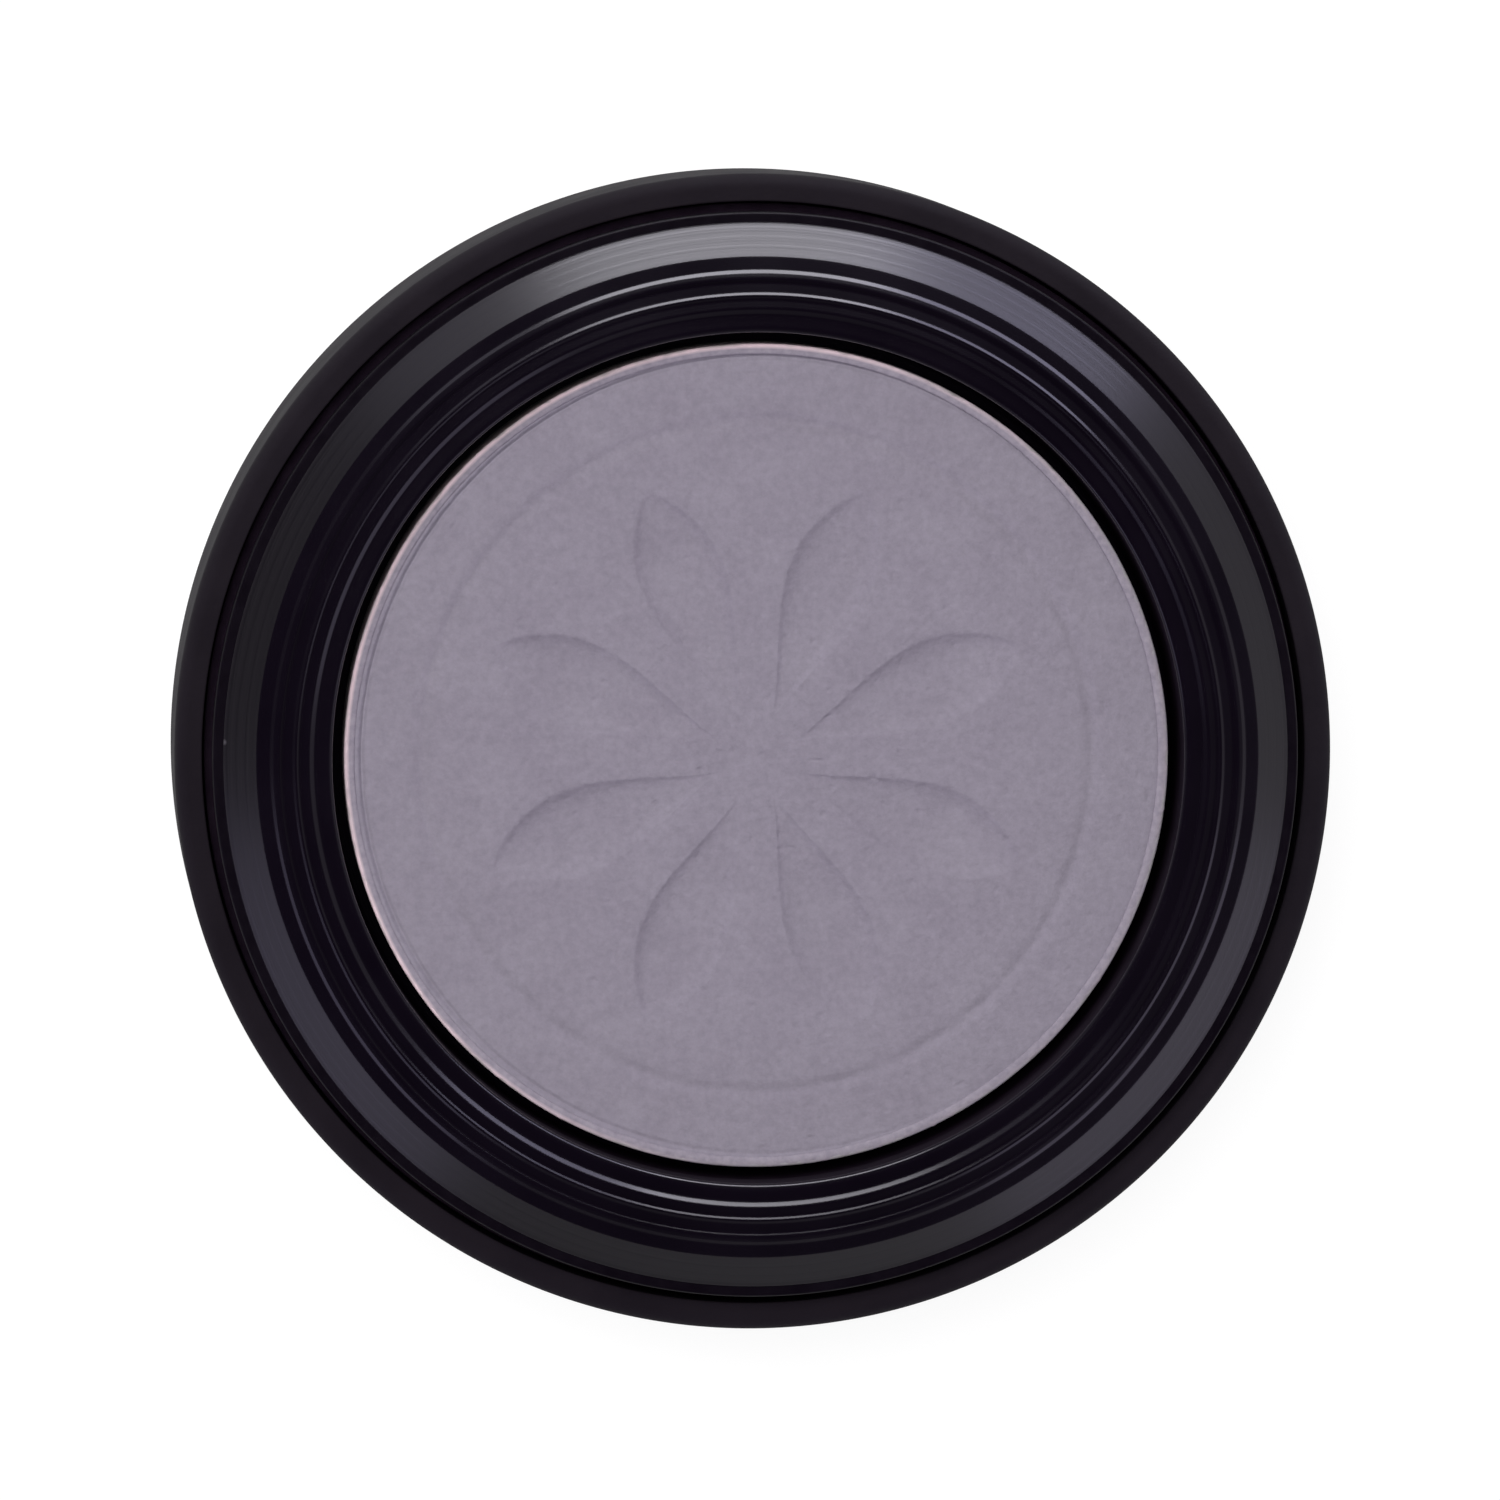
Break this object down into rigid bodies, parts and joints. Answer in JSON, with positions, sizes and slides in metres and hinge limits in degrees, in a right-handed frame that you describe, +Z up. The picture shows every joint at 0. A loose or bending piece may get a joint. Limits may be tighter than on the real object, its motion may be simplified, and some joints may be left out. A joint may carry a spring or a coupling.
{
  "type": "pressed powder pot",
  "caption": "Round low black pot with a matte cup, a gloss fluted collar and a sunk round pan of pressed powder, open at the top, with a neck for a push-fit lid.",
  "frame": {"origin": "middle of the foot ring, on the plane that the pot stands on", "axes": "+Z up through the pan, the pot's axis of symmetry; -Y is the side at the bottom of the picture"},
  "size_m": [0.0366, 0.0366, 0.009],
  "materials": {
    "cup_plastic": "fine matte moulded black",
    "collar_plastic": "polished moulded black, satin on the bevel",
    "low_tack_pad": "translucent low-tack adhesive",
    "tinplate": "drawn tinplate, dusted with powder",
    "powder": "pressed matte mauve-grey powder"
  },
  "bodies": {
    "pot": {"base_shell": "cup_plastic", "collar": "collar_plastic", "adhesive_disc": "low_tack_pad"},
    "refill": {"pan": "tinplate", "powder_cake": "powder"}
  },
  "joints": [
    {"name": "pan_lift", "type": "slide", "parent": "pot", "child": "refill", "axis": [0, 0, 1], "range_m": [0, 0.008]}
  ]
}
